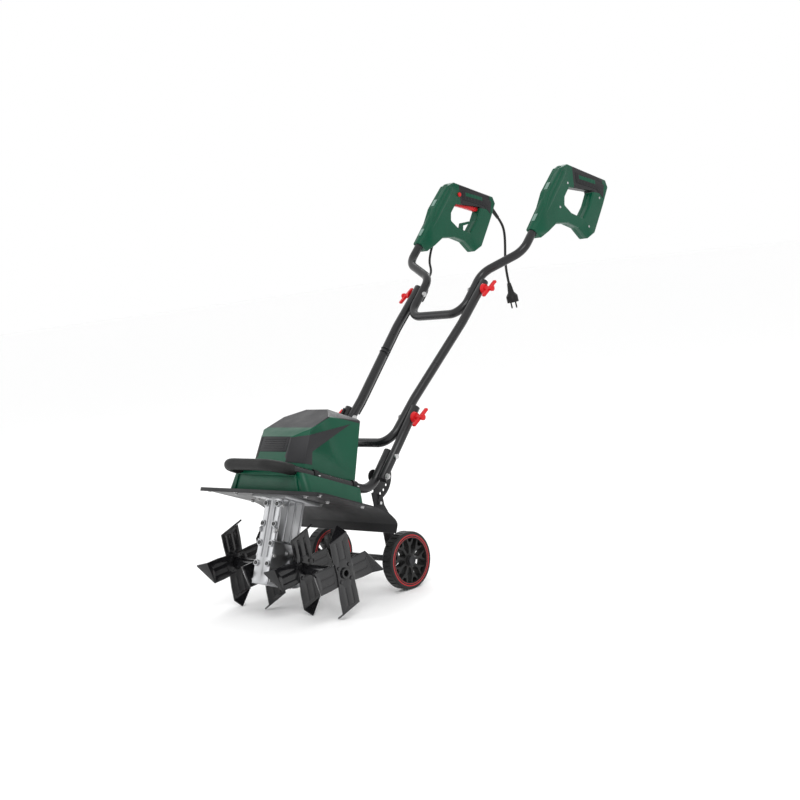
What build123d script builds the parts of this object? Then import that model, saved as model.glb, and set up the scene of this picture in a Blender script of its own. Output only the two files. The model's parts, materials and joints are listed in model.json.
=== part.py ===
"""Electric garden cultivator with four tine stars, two transport wheels and a three-section handle.

Millimetres. X runs across the machine (+X is the user's left), Y from the front to the handles and Z up
from the ground. The origin is on the ground, under the middle of the machine's length and width.
Side views are written as (y, z), with y counted from the tine axis and z from the ground.
Deck views are written as (u, n): u runs rearward along the frame's rails and n stands square to them.
"""

import os
from math import cos, hypot, pi, radians, sin, sqrt, tan

from build123d import *

os.makedirs("parts", exist_ok=True)

# ---- overall ----
tine_axis_y = -543.5      # place of the tine axis along the machine
tine_axis_z = 111.4       # height of the tine axis over the ground
gap = 0.3                 # clearance between pieces that move past each other
fit = 0.05                # radial clearance of a running fit

# ---- tubes and handle ----
tube_d = 24.0
tube_wall = 1.5
tube_r = tube_d / 2
frame_x = 99.0            # half distance between rails, uprights and inner tubes
leg_x = frame_x + tube_d + gap
lower_knob = (373.0, 427.0)
lower_slope = 46.5        # slope of the uprights and the lower legs, degrees
handle_slope = 42.2       # slope of the middle tube, degrees
upper_slope = 44.2        # slope of the upper tube, degrees
middle_length = 447.0     # from the lower knob axis to the upper one
leg_end = 30.0            # what a leg runs past the lower knob axis
middle_end = 26.0         # what the middle tube runs past the upper knob axis
brace_drop = 84.0         # from a knob axis down to the cross brace under it
brace_r = 45.0
slant_start, slant_left = 60.0, 121.0    # straight lengths of the middle tube beside its two knobs
slant_r = 200.0
grip_x = 214.0            # half distance between the two grips
flare_start, flare_end = 60.0, 128.0     # where the upper tube leaves frame_x and reaches grip_x
flare_r = 52.0
upper_tube_len = 330.0
bolt_r = 4.0

# ---- deck: the tilted plane that carries base, hood, motor and gear arm ----
deck_tilt = 22.5
deck_ref = (22.5, 344.0)  # a point of the rails' axis
rail_front_u = -117.0     # front of the carry loop
loop_r = 50.0
sleeve_t = 2.2            # soft sleeve over the loop's front
sleeve_u = -62.0          # where its two ends lie on the rails
frame_bend_r = 55.0
upright_len = 120.0       # from the frame's rear corner to the upright's open end
pivot_up = 45.0           # from the frame's rear corner to the pivot bolt
leg_low = 37.0            # from the frame's rear corner to the leg's lower end
leg_screw_up = 105.0      # from the frame's rear corner to the leg's screw
clamp_u = (12.5, 147.0)   # places of the rail clamps

# ---- guard ----
guard_w, guard_t = 468.0, 3.0
guard_n = -54.0           # its flat top
guard_u0, guard_u1, guard_end_u = -75.6, 110.0, 197.0
guard_r = 145.0           # curve of its rear part
guard_lip, guard_nose = 22.0, 9.5
guard_corner_r = 26.0

# ---- base ----
base_top_w, base_low_w = 256.0, 304.0
base_top = -4.0
base_u0, base_u1 = -53.0, 158.0
base_nose_u = -45.0       # front wall where it meets the guard
base_roof, base_wall = 12.0, 3.0
base_corner_r = 18.0

# ---- hood ----
hood_wall = 2.6
hood_edge_r = 4.0
inlay_t = 1.0
hood_side = ((95.0, 0.0), (85.0, 160.0))           # half width against height
hood_front = ((-48.0, 23.0), (-39.0, 89.0))
hood_ledge = ((-39.0, 89.0), (-23.0, 102.0))
hood_slope = ((-23.0, 102.0), (62.0, 184.0))
hood_top = ((62.0, 184.0), (154.0, 173.0))
hood_rear = ((155.0, 153.0), (160.0, 21.0))
hood_crease = ((56.0, -48.0, 23.0), (95.0, -20.0, 0.0), (78.0, -22.0, 93.0))
hood_shoulder = ((33.0, 62.0, 184.0), (78.0, 154.0, 173.0), (80.0, 51.0, 158.0))
hood_band = ((-70.0, 80.0), (-26.0, 99.5), (-16.0, 108.5), (51.0, 158.0), (138.0, 162.0), (190.0, 164.0))

# ---- gear arm and drive ----
worm_teeth = 24
module = 2.5
wheel_pitch_r = worm_teeth * module / 2
worm_pitch_r = 15.0
shaft_distance = wheel_pitch_r + worm_pitch_r
tooth_t, tooth_h = 3.0, 2.3
worm_wheel_w = 9.0
arm_half = 28.0           # half thickness of the gear arm
arm_front, arm_rear = 39.4, 40.6     # from the motor axis to the arm's front and rear faces
arm_low_n = -276.0
worm_room = 18.5         # half width of the space for the worm
arm_boss_r = 50.0         # round housing about the tine axis
flange_half_w, flange_t = 62.0, 8.0
flange_u0, flange_u1 = -34.0, 84.0
shaft_r = 7.5             # tine shaft
rotor_r = 6.0
bearing_w = 8.0
tine_bearing_r, rotor_bearing_r = 17.5, 14.0

# ---- motor ----
motor_top = 112.0
stator_r, stator_bore = 42.0, 25.0
stator_n0, stator_n1 = 20.0, 80.0
armature_r = 24.0
commutator_r = 12.0
fan_r = 34.0

# ---- tines ----
hub_r, hub_x0, hub_x1 = 13.0, 60.0, 209.0
shaft_end_x = 190.0
outer_star_x, inner_star_x = 205.0, 67.0     # outer faces of the outer and inner stars
blade_t = 4.0
bend_lead, bend_trail = (94.0, -30.0), (81.0, 28.0)    # ends of the tip's bend line: radius, offset
blade_root = 25.0
tip_len, tip_bend = 28.0, 60.0
star_phase = 5.3          # lean of the upright blades, degrees
rivet_r, rivet_ring = 3.0, 24.0

# ---- wheels ----
wheel_r, wheel_x0, wheel_x1 = 74.0, 128.0, 161.0
axle_at = (273.0, 74.0)
axle_r, rim_r, rim_ring, wheel_hub_r = 8.0, 62.0, 5.0, 14.0
spokes = 9
arm_t = 3.0
arm_x = frame_x - tube_r - gap     # outer face of the wheel arms' heads
arm_head_r, arm_lobe_r, arm_strip_w = 66.0, 17.0, 36.0
arm_head_from, arm_head_to = -97.0, 20.0
lock_ring, lock_r = 52.0, 3.5
lock_angles = (-37.0, -54.0, -70.5)
arm_joggle, joggle_start, joggle_end = 14.0, 84.0, 112.0

# ---- knobs ----
knob_base_r, knob_stem_r, knob_cap_r = 15.0, 6.5, 8.0
knob_len, knob_wing, knob_wing_t = 33.0, 66.0, 7.0
knob_lean = 32.0          # slope of the wings as parked, degrees

# ---- grips ----
grip_half = 17.0          # half thickness
grip_wall = 3.5
grip_edge_r = 5.0
rubber_t, rubber_proud = 2.3, 0.8
trigger_half = 6.0
button_r, button_proud = 6.5, 4.0

# ---- cables ----
cable_r, lead_r = 3.5, 4.0
cable_off = tube_r + cable_r + 0.2           # from a tube's axis to the cable beside it


# ---------------------------------------------------------------- places
def side(x):
    """Plane square to X: sketches in it are (y, z) with y from the tine axis."""
    return Plane(origin=(x, tine_axis_y, 0), x_dir=(0, 1, 0), z_dir=(1, 0, 0))


tilt = radians(deck_tilt)
deck_n = Vector(0, sin(tilt), cos(tilt))
deck_u = Vector(0, cos(tilt), -sin(tilt))
deck_o = Vector(0, tine_axis_y + deck_ref[0], deck_ref[1])


def deck(n):
    """Plane parallel to the deck at height n: sketches in it are (x, u)."""
    return Plane(origin=deck_o + deck_n * n, x_dir=(1, 0, 0), z_dir=deck_n)


def deck_side(x):
    """Plane square to X in deck directions: sketches in it are (u, n)."""
    return Plane(origin=deck_o + Vector(x, 0, 0), x_dir=deck_u, z_dir=(1, 0, 0))


def deck_point(x, u, n):
    return deck_o + Vector(x, 0, 0) + deck_u * u + deck_n * n


def at(x, point):
    """Point in space of a side-view point (y, z)."""
    return Vector(x, tine_axis_y + point[0], point[1])


def along(point, slope, distance, lift=0.0):
    """Side-view point at a distance along a slope, lifted square to it towards the front."""
    a = radians(slope)
    return (point[0] + distance * cos(a) - lift * sin(a), point[1] + distance * sin(a) + lift * cos(a))


def deck_uv(point):
    """Deck view (u, n) of a side-view point."""
    dy, dz = point[0] - deck_ref[0], point[1] - deck_ref[1]
    return (dy * cos(tilt) - dz * sin(tilt), dy * sin(tilt) + dz * cos(tilt))


def save(part, name):
    part.label = name
    export_step(part, f"parts/{name}.step")


tine_u, tine_n = deck_uv((0.0, tine_axis_z))
motor_u = tine_u - shaft_distance
rail_tan, leg_tan = tan(tilt), tan(radians(lower_slope))
corner_y = (deck_ref[1] + deck_ref[0] * rail_tan - lower_knob[1] + lower_knob[0] * leg_tan) / (leg_tan + rail_tan)
frame_corner = (corner_y, deck_ref[1] - (corner_y - deck_ref[0]) * rail_tan)
pivot = along(frame_corner, lower_slope, pivot_up)
leg_screw = along(frame_corner, lower_slope, leg_screw_up)
upper_knob = along(lower_knob, handle_slope, middle_length)


# ---------------------------------------------------------------- frame and handle tubes
def both_sides(half):
    """A route's left half followed by its mirror image."""
    return half + [Vector(-p.X, p.Y, p.Z) for p in reversed(half)]


def swept_bar(points, radii, r):
    """Round bar along straight runs joined by tangent arcs."""
    with BuildPart() as bar:
        with BuildLine() as route:
            FilletPolyline(*points, radius=radii)
        with BuildSketch(Plane(origin=route.line @ 0, z_dir=route.line % 0)):
            Circle(r)
        sweep()
    return bar.part


frame_half = [at(-frame_x, along(frame_corner, lower_slope, upright_len)), at(-frame_x, frame_corner),
              deck_point(-frame_x, rail_front_u, 0)]
frame_route = both_sides(frame_half)
frame_radii = [frame_bend_r, loop_r, loop_r, frame_bend_r]

middle_half = [at(-leg_x, along(lower_knob, handle_slope, middle_length + middle_end)),
               at(-leg_x, along(lower_knob, handle_slope, middle_length - slant_left)),
               at(-frame_x, along(lower_knob, handle_slope, slant_start)),
               at(-frame_x, along(lower_knob, handle_slope, -brace_drop))]
middle_radii = [slant_r, slant_r, brace_r, brace_r, slant_r, slant_r]

upper_half = [at(-grip_x, along(upper_knob, upper_slope, upper_tube_len)),
              at(-grip_x, along(upper_knob, upper_slope, flare_end)),
              at(-frame_x, along(upper_knob, upper_slope, flare_start)),
              at(-frame_x, along(upper_knob, upper_slope, -brace_drop))]
upper_radii = [flare_r, flare_r, brace_r, brace_r, flare_r, flare_r]


def bent_tube(name, route, radii, holes):
    """Open-ended steel tube; holes is a list of (x, side-view point) for the bolts that cross it."""
    with BuildPart() as tube:
        add(swept_bar(route, radii, tube_r))
        add(swept_bar(route, radii, tube_r - tube_wall), mode=Mode.SUBTRACT)
        for x, point in holes:
            for s in (-1, 1):
                with BuildSketch(side(s * x)):
                    with Locations(point):
                        Circle(bolt_r + fit)
                extrude(amount=tube_r + 1, both=True, mode=Mode.SUBTRACT)
    save(tube.part, name)


bent_tube("frame_tube", frame_route, frame_radii, [(frame_x, pivot), (frame_x, leg_screw)])
bent_tube("middle_tube", both_sides(middle_half), middle_radii, [(frame_x, lower_knob), (leg_x, upper_knob)])
bent_tube("upper_tube", both_sides(upper_half), upper_radii, [(frame_x, upper_knob)])

sleeve_route = both_sides([deck_point(-frame_x, sleeve_u, 0), deck_point(-frame_x, rail_front_u, 0)])
with BuildPart() as bar_sleeve:
    add(swept_bar(sleeve_route, [loop_r, loop_r], tube_r + sleeve_t))
    add(swept_bar(sleeve_route, [loop_r, loop_r], tube_r), mode=Mode.SUBTRACT)
save(bar_sleeve.part, "bar_sleeve")

for s, label in ((1, "left"), (-1, "right")):
    low = at(s * leg_x, along(frame_corner, lower_slope, leg_low))
    high = at(s * leg_x, along(lower_knob, lower_slope, leg_end))
    with BuildPart() as lower_leg:
        with BuildSketch(Plane(origin=low, x_dir=(1, 0, 0), z_dir=high - low)):
            Circle(tube_r)
            Circle(tube_r - tube_wall, mode=Mode.SUBTRACT)
        extrude(amount=(high - low).length)
        with BuildSketch(side(s * leg_x)):
            with Locations(pivot, leg_screw, lower_knob):
                Circle(bolt_r + fit)
        extrude(amount=tube_r + 1, both=True, mode=Mode.SUBTRACT)
    save(lower_leg.part, f"lower_leg_{label}")


# ---------------------------------------------------------------- bolts and knobs
def cross_bolt(s, point, x_head, x_end, inner_head=True):
    """A bolt along X on side s, its round head at x_head and its plain end at x_end."""
    out = 1 if inner_head else -1
    with BuildPart() as shank:
        with BuildSketch(side(s * x_head)):
            with Locations(point):
                Circle(bolt_r)
        extrude(amount=s * (x_end - x_head))
        with BuildSketch(side(s * x_head)):
            with Locations(point):
                Circle(bolt_r * 1.9)
        extrude(amount=-s * out * 4.5, taper=14)
    return shank.part


def washer_nut(s, point, x):
    with BuildPart() as nut:
        with BuildSketch(side(s * x)):
            with Locations(point):
                Circle(bolt_r * 1.9)
                Circle(bolt_r, mode=Mode.SUBTRACT)
        extrude(amount=s * 1.2)
        with BuildSketch(side(s * (x + 1.2))):
            with Locations(point):
                RegularPolygon(bolt_r * 1.7, 6)
                Circle(bolt_r, mode=Mode.SUBTRACT)
        extrude(amount=s * 5.5)
    return nut.part


leg_face = leg_x + tube_r           # outer side of the legs and of the middle tube's top
with BuildPart() as pivot_bolts:
    for s in (-1, 1):
        add(cross_bolt(s, pivot, arm_x - arm_t - gap, leg_face + 9.0))
        add(washer_nut(s, pivot, leg_face))
        add(cross_bolt(s, leg_screw, leg_face, frame_x - 6.0, inner_head=False))

for name, point in (("lower_bolts", lower_knob), ("upper_bolts", upper_knob)):
    with BuildPart() as knob_bolts:
        for s in (-1, 1):
            add(cross_bolt(s, point, frame_x - tube_r, leg_face + gap + knob_len - 9.0))
    save(knob_bolts.part, name)

for s, label in ((1, "left"), (-1, "right")):
    for level, point in (("lower", lower_knob), ("upper", upper_knob)):
        x0 = leg_face + gap
        with BuildPart() as knob:
            with BuildSketch(side(s * x0)):
                with Locations(point):
                    Circle(knob_base_r)
            extrude(amount=s * 8.0, taper=20)
            with BuildSketch(side(s * x0)):
                with Locations(point):
                    Circle(knob_stem_r)
            extrude(amount=s * (knob_len - 4.0))
            with BuildSketch(side(s * (x0 + knob_len / 2))):
                with Locations(point):
                    RectangleRounded(knob_wing, knob_wing_t, 1.5, rotation=knob_lean)
            extrude(amount=s * 8.0)
            with BuildSketch(side(s * (x0 + knob_len - 6.0))):
                with Locations(point):
                    Circle(knob_cap_r)
            extrude(amount=s * 6.0)
            with BuildSketch(side(s * x0)):
                with Locations(point):
                    Circle(bolt_r + fit)
            extrude(amount=s * (knob_len - 8.0), mode=Mode.SUBTRACT)
        save(knob.part, f"knob_{level}_{label}")


# ---------------------------------------------------------------- guard
def guard_curve(u, under=0.0):
    """Height of the guard's curved rear part, of its top or of a surface under it."""
    return guard_n - guard_r + sqrt((guard_r - under) ** 2 - (u - guard_u1) ** 2)


guard_end = (guard_end_u, guard_curve(guard_end_u))
guard_mid_u = (guard_u1 + guard_end_u) / 2
inner_end_u = guard_end_u - 1.3 * guard_t
lip_foot = (guard_end[0] + guard_lip * sin(tilt), guard_end[1] - guard_lip * cos(tilt))

with BuildPart() as guard:
    with BuildSketch(deck_side(0)):
        with BuildLine():
            Polyline((guard_u0, guard_n - guard_nose), (guard_u0, guard_n), (guard_u1, guard_n))
            ThreePointArc((guard_u1, guard_n), (guard_mid_u, guard_curve(guard_mid_u)), guard_end)
            inner_end = (inner_end_u, guard_curve(inner_end_u, guard_t))
            Polyline(guard_end, lip_foot, (lip_foot[0] - guard_t, lip_foot[1]), inner_end)
            ThreePointArc(inner_end, (guard_mid_u, guard_curve(guard_mid_u, guard_t)),
                          (guard_u1, guard_n - guard_t))
            Polyline((guard_u1, guard_n - guard_t), (guard_u0 + guard_t, guard_n - guard_t),
                     (guard_u0 + guard_t, guard_n - guard_nose), (guard_u0, guard_n - guard_nose))
        make_face()
    extrude(amount=guard_w / 2, both=True)
    with BuildSketch(deck(guard_n - 80)):
        with Locations((0, (guard_u0 + lip_foot[0]) / 2)):
            RectangleRounded(guard_w, lip_foot[0] - guard_u0 + 2, guard_corner_r)
    extrude(amount=160, mode=Mode.INTERSECT)
    with BuildSketch(deck(guard_n + 1)):
        with Locations((0, motor_u)):
            Circle(20.0)
    extrude(amount=-20, mode=Mode.SUBTRACT)
save(guard.part, "guard")


# ---------------------------------------------------------------- base housing
def base_block(inset, top):
    """The base's outer shape with its walls moved inward by inset, from the guard up to top."""
    slope = (base_low_w - base_top_w) / 2 / (base_top - guard_n)
    low = guard_n - 30.0
    front = (base_nose_u - base_u0) / (base_top - guard_n)
    with BuildPart() as block:
        with BuildSketch(deck_side(0)):
            with BuildLine():
                Line((base_nose_u + inset, guard_n), (base_u0 + front * (base_top - top) + inset, top))
                Line((base_u0 + front * (base_top - top) + inset, top), (base_u1 - inset, top))
                rear = base_u1 - inset
                Line((rear, top), (rear, guard_curve(rear)))
                mid = (guard_u1 + rear) / 2
                ThreePointArc((rear, guard_curve(rear)), (mid, guard_curve(mid)), (guard_u1, guard_n))
                Line((guard_u1, guard_n), (base_nose_u + inset, guard_n))
            make_face()
        extrude(amount=base_low_w, both=True)
        for s in (-1, 1):
            wall = Plane(origin=deck_point(s * (base_top_w / 2 - inset), 0, base_top), x_dir=deck_u,
                         z_dir=Vector(s, 0, 0) + deck_n * slope)
            split(bisect_by=wall, keep=Keep.BOTTOM)
        upright_edges = block.edges().filter_by(lambda e: abs((e % 0.5).dot(deck_n)) > 0.8)
        fillet(upright_edges, base_corner_r - inset)
    return block.part


with BuildPart() as base_housing:
    add(base_block(0.0, base_top))
    add(base_block(base_wall, base_top - base_roof), mode=Mode.SUBTRACT)
    with BuildSketch(deck(base_top)):
        with Locations((0, motor_u)):
            Circle(stator_r + gap)
    extrude(amount=-base_roof, mode=Mode.SUBTRACT)
    add(swept_bar(frame_route, frame_radii, tube_r), mode=Mode.SUBTRACT)
save(base_housing.part, "base_housing")


# ---------------------------------------------------------------- rail clamps and case screws
with BuildPart() as rail_clamps:
    for s in (-1, 1):
        for u in clamp_u:
            strap = Plane(origin=deck_point(s * frame_x, u - 8.0, 0), x_dir=(s, 0, 0), z_dir=deck_u * 1)
            up = 1 if strap.y_dir.dot(deck_n) > 0 else -1
            with BuildSketch(strap):
                with BuildLine():
                    ThreePointArc((0, up * tube_r), (tube_r * sin(radians(50)), up * tube_r * cos(radians(50))),
                                  (tube_r, 0))
                    Polyline((tube_r, 0), (tube_r, up * base_top), (tube_r + 15, up * base_top),
                             (tube_r + 15, up * (base_top + 3)), (tube_r + 3, up * (base_top + 3)),
                             (tube_r + 3, 0))
                    ThreePointArc((tube_r + 3, 0), ((tube_r + 3) * sin(radians(50)),
                                                    up * (tube_r + 3) * cos(radians(50))),
                                  (0, up * (tube_r + 3)))
                    Line((0, up * (tube_r + 3)), (0, up * tube_r))
                make_face()
            extrude(amount=16.0)
save(rail_clamps.part, "rail_clamps")


# ---------------------------------------------------------------- hood
hood_middle = (0.0, 60.0, 60.0)      # a point inside the hood: (x, u, n)


def hood_faces(grow):
    """Cutting planes of the hood, moved outward by grow, their normals pointing out."""
    triples = [((0, u0, n0), (0, u1, n1), (10, u0, n0))
               for (u0, n0), (u1, n1) in (hood_front, hood_ledge, hood_slope, hood_top, hood_rear)]
    (x0, n0), (x1, n1) = hood_side
    for s in (-1, 1):
        triples.append(((s * x0, 0, n0), (s * x0, 10, n0), (s * x1, 0, n1)))
        for corners in (hood_crease, hood_shoulder):
            triples.append(tuple((s * x, u, n) for x, u, n in corners))
    planes = []
    for corners in triples:
        a, b, c = [deck_point(*corner) for corner in corners]
        out = (b - a).cross(c - a).normalized()
        if out.dot(deck_point(*hood_middle) - a) > 0:
            out = out * -1
        planes.append(Plane(origin=a + out * grow, z_dir=out))
    return planes


def hood_block(grow, edge_r):
    with BuildPart() as block:
        with BuildSketch(deck(base_top)):
            with Locations((0, 55)):
                Rectangle(240, 260)
        extrude(amount=260)
        for plane in hood_faces(grow):
            split(bisect_by=plane, keep=Keep.BOTTOM)
        if edge_r:
            low = block.faces().sort_by(Axis(deck_o, deck_n))[0]
            rounded = [e for e in block.edges() if e not in low.edges()]
            fillet(rounded, edge_r)
    return block.part


def over_band():
    """The space over the line where the hood's cover meets its shell."""
    with BuildPart() as region:
        with BuildSketch(deck_side(0)):
            Polygon(*hood_band, (190, 300), (-70, 300), align=None)
        extrude(amount=150, both=True)
    return region.part


def prism(outline, x0, x1):
    """Side-view deck outline extruded between two distances from the middle, on both sides."""
    with BuildPart() as pair:
        for s in (-1, 1):
            with BuildSketch(deck_side(s * x0)):
                Polygon(*outline, align=None)
            extrude(amount=s * (x1 - x0))
    return pair.part


hood_outer = hood_block(0.0, hood_edge_r)
hood_inner = hood_block(-hood_wall, 0.0)
hood_skin = hood_block(inlay_t, hood_edge_r + inlay_t)
rails_room = swept_bar(frame_route, frame_radii, tube_r + gap)
cable_gland = (-52.0, 60.0)          # (x, n) of the cable's way into the hood's rear
side_inlay = ((-41, 84), (118, 153), (2, 58), (6, 26), (-48, 21))
vent_inlay = ((-60, 47), (-60, 86), (-20, 86), (-20, 47))

with BuildPart() as hood_shell:
    add(hood_outer)
    add(hood_inner, mode=Mode.SUBTRACT)
    add(over_band(), mode=Mode.SUBTRACT)
    add(rails_room, mode=Mode.SUBTRACT)
    with BuildSketch(Plane(origin=deck_point(0, hood_rear[0][0], 0), x_dir=(1, 0, 0), z_dir=deck_u)):
        with Locations((cable_gland[0], -cable_gland[1])):
            Circle(cable_r + fit)
    extrude(amount=20, both=True, mode=Mode.SUBTRACT)
save(hood_shell.part, "hood_shell")

with BuildPart() as hood_cover:
    add(hood_outer)
    add(hood_inner, mode=Mode.SUBTRACT)
    add(over_band(), mode=Mode.INTERSECT)
save(hood_cover.part, "hood_cover")

with BuildPart() as hood_inlays:
    add(hood_skin)
    add(hood_outer, mode=Mode.SUBTRACT)
    add(prism(side_inlay, 50.0, 120.0) + prism(vent_inlay, 0.0, 49.0), mode=Mode.INTERSECT)
save(hood_inlays.part, "hood_inlays")


# ---------------------------------------------------------------- motor
def ring(n0, n1, r_out, r_in=0.0):
    """Round piece on the motor axis between two heights."""
    with BuildPart() as body:
        with BuildSketch(deck(n0)):
            with Locations((0, motor_u)):
                Circle(r_out)
                if r_in:
                    Circle(r_in, mode=Mode.SUBTRACT)
        extrude(amount=n1 - n0)
    return body.part


with BuildPart() as stator_core:
    add(ring(stator_n0, stator_n1, stator_r, stator_bore + 7.0))
    for turn in (0, 180):
        with BuildSketch(deck(stator_n0)):
            with Locations((0, motor_u)):
                Circle(stator_bore + 8.0)
                Circle(stator_bore, mode=Mode.SUBTRACT)
                Rectangle(100, 34, mode=Mode.INTERSECT)
        extrude(amount=stator_n1 - stator_n0)
save(stator_core.part, "stator_core")

with BuildPart() as field_windings:
    for s in (-1, 1):
        with BuildSketch(deck(stator_n0 - 7.0)):
            with Locations((0, motor_u)):
                Circle(stator_bore + 6.5)
                Circle(stator_bore + 1.0, mode=Mode.SUBTRACT)
            with Locations((0, motor_u + s * 40)):
                Rectangle(60, 42, mode=Mode.INTERSECT)
        extrude(amount=stator_n1 - stator_n0 + 14.0)
save(field_windings.part, "field_windings")

with BuildPart() as motor_bracket:
    add(ring(base_top - base_roof, stator_n0, stator_r))
    add(ring(base_top - base_roof + 4.0, stator_n0, stator_r - 4.0), mode=Mode.SUBTRACT)
    add(ring(base_top - base_roof, stator_n0, rotor_r + 4.0), mode=Mode.SUBTRACT)
save(motor_bracket.part, "motor_bracket")

brush_n0 = stator_n1 + 8.0
with BuildPart() as brush_gear:
    add(ring(brush_n0, motor_top - 6.0, 21.0, commutator_r + 3.0))
    for s in (-1, 1):
        with BuildSketch(deck(brush_n0 + 3.0)):
            with Locations((s * (commutator_r + 9.6), motor_u)):
                Rectangle(18.0, 8.0)
        extrude(amount=9.0)
    add(ring(motor_top - 6.0, motor_top - 2.0, 21.0, rotor_r + fit))
save(brush_gear.part, "brush_gear")


# ---------------------------------------------------------------- rotor
def worm_thread(turns):
    """Right-hand thread about the motor axis, its gap between wheel teeth level with the tine axis."""
    lead = pi * module
    z0 = -lead * (turns // 2 + 0.25)
    with BuildPart() as thread:
        with BuildLine():
            Helix(pitch=lead, height=lead * turns, radius=worm_pitch_r, center=(0, 0, z0))
        with BuildSketch(Plane(origin=(worm_pitch_r, 0, z0), x_dir=(1, 0, 0), z_dir=(0, 1, 0))):
            with Locations((-1.0, 0)):
                Rectangle(2 * tooth_h + 2.0, tooth_t)
        sweep(is_frenet=True)
    return Plane(origin=deck_point(0, motor_u, tine_n), x_dir=(1, 0, 0), z_dir=deck_n) * thread.part


with BuildPart() as rotor_shaft:
    add(ring(arm_low_n + 10.0, motor_top, rotor_r))
    add(ring(tine_n - 28.0, tine_n + 28.0, worm_pitch_r - tooth_h - 0.7))
    add(worm_thread(6))
save(rotor_shaft.part, "rotor_shaft")

with BuildPart() as armature:
    add(ring(stator_n0, stator_n1, armature_r, rotor_r))
    with BuildSketch(deck(stator_n0)):
        with Locations((0, motor_u)):
            with PolarLocations(armature_r - 4.0, 12):
                Rectangle(9.0, 3.0)
    extrude(amount=stator_n1 - stator_n0, mode=Mode.SUBTRACT)
    add(ring(stator_n1, brush_n0, 10.0, rotor_r))
    add(ring(brush_n0, brush_n0 + 15.0, commutator_r, rotor_r))
save(armature.part, "armature")

with BuildPart() as fan:
    add(ring(stator_n0 - 14.0, stator_n0 - 11.5, fan_r, rotor_r))
    with BuildSketch(deck(stator_n0 - 12.0)):
        with Locations((0, motor_u)):
            with PolarLocations(fan_r / 2 + 4.0, 9):
                Rectangle(fan_r - 10.0, 2.0)
    extrude(amount=-7.0)
save(fan.part, "fan")


# ---------------------------------------------------------------- gear arm
arm_under = guard_n - guard_t        # where the arm's flange meets the guard
screw_spots = [deck_uv(p) for p in ((-17, 274), (-46, 218), (-65, 158), (-88, 102), (-21, 153))]
for s, label in ((1, "left"), (-1, "right")):
    with BuildPart() as gearbox:
        with BuildSketch(deck_side(0)):
            with Locations((motor_u + (arm_rear - arm_front) / 2, (arm_under + arm_low_n) / 2)):
                Rectangle(arm_front + arm_rear, arm_under - arm_low_n)
            with Locations((tine_u, tine_n)):
                Circle(arm_boss_r)
        extrude(amount=s * arm_half)
        with BuildSketch(deck_side(0)):
            with Locations(((flange_u0 + flange_u1) / 2, arm_under - flange_t / 2)):
                Rectangle(flange_u1 - flange_u0, flange_t)
        extrude(amount=s * flange_half_w)
        with BuildSketch(deck_side(0)):
            with Locations((tine_u, tine_n)):
                Circle(arm_boss_r - 9.0)
        extrude(amount=s * 12.0, mode=Mode.SUBTRACT)
        with BuildSketch(deck_side(0)):
            with Locations((motor_u, tine_n)):
                Rectangle(46.0, 76.0)
        extrude(amount=s * worm_room, mode=Mode.SUBTRACT)
        with BuildSketch(deck_side(0)):
            with Locations((motor_u + 1.0, (arm_under + tine_n) / 2 + 6.0)):
                Rectangle(44.0, tine_n * -1 + arm_under - 84.0)
        extrude(amount=s * 18.0, mode=Mode.SUBTRACT)
        add(ring(arm_low_n + 8.0, arm_under + 1.0, rotor_r + 1.0), mode=Mode.SUBTRACT)
        for n in (arm_under - 24.0, tine_n - 46.0):
            add(ring(n, n + bearing_w, rotor_bearing_r), mode=Mode.SUBTRACT)
        with BuildSketch(side(0)):
            with Locations((0, tine_axis_z)):
                Circle(shaft_r + 1.0)
        extrude(amount=s * (arm_half + 1), mode=Mode.SUBTRACT)
        with BuildSketch(side(s * 12.0)):
            with Locations((0, tine_axis_z)):
                Circle(tine_bearing_r)
        extrude(amount=s * (arm_half - 12.0 + 1), mode=Mode.SUBTRACT)
        for u, n in screw_spots:
            with BuildSketch(deck_side(s * (arm_half - 4.0))):
                with Locations((u, n)):
                    Circle(7.0)
            extrude(amount=s * 6.0)
    save(gearbox.part, f"gearbox_{label}")


def bearing(plane, point, r_in, r_out):
    with BuildPart() as race:
        with BuildSketch(plane):
            with Locations(point):
                Circle(r_out)
                Circle(r_in + fit, mode=Mode.SUBTRACT)
        extrude(amount=bearing_w)
        chamfer(race.edges().filter_by(GeomType.CIRCLE).sort_by(SortBy.RADIUS)[-2:], 0.8)
    return race.part


with BuildPart() as ball_bearings:
    for n in (arm_under - 24.0, tine_n - 46.0):
        add(bearing(deck(n), (0, motor_u), rotor_r, rotor_bearing_r))
    add(bearing(side(12.0), (0, tine_axis_z), shaft_r, tine_bearing_r))
    add(bearing(side(-12.0 - bearing_w), (0, tine_axis_z), shaft_r, tine_bearing_r))
save(ball_bearings.part, "ball_bearings")

with BuildPart() as tine_seals:
    for s in (-1, 1):
        with BuildSketch(side(s * 20.0)):
            with Locations((0, tine_axis_z)):
                Circle(tine_bearing_r)
                Circle(shaft_r + fit, mode=Mode.SUBTRACT)
        extrude(amount=s * 12.0)
save(tine_seals.part, "tine_seals")

with BuildPart() as case_screws:
    for s in (-1, 1):
        for u in clamp_u:
            with BuildSketch(deck(base_top + 3.0)):
                with Locations((s * (frame_x + tube_r + 9.0), u)):
                    Circle(4.0)
            extrude(amount=2.6, taper=20)
    for u, n in screw_spots:
        with BuildSketch(deck_side(arm_half + 2.0)):
            with Locations((u, n)):
                Circle(4.6)
        extrude(amount=3.6, taper=12)
        with BuildSketch(deck_side(arm_half + 5.6)):
            with Locations((u, n)):
                RegularPolygon(2.2, 6)
        extrude(amount=-2.2, mode=Mode.SUBTRACT)
    add(pivot_bolts.part)
save(case_screws.part, "chassis_fasteners")


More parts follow.
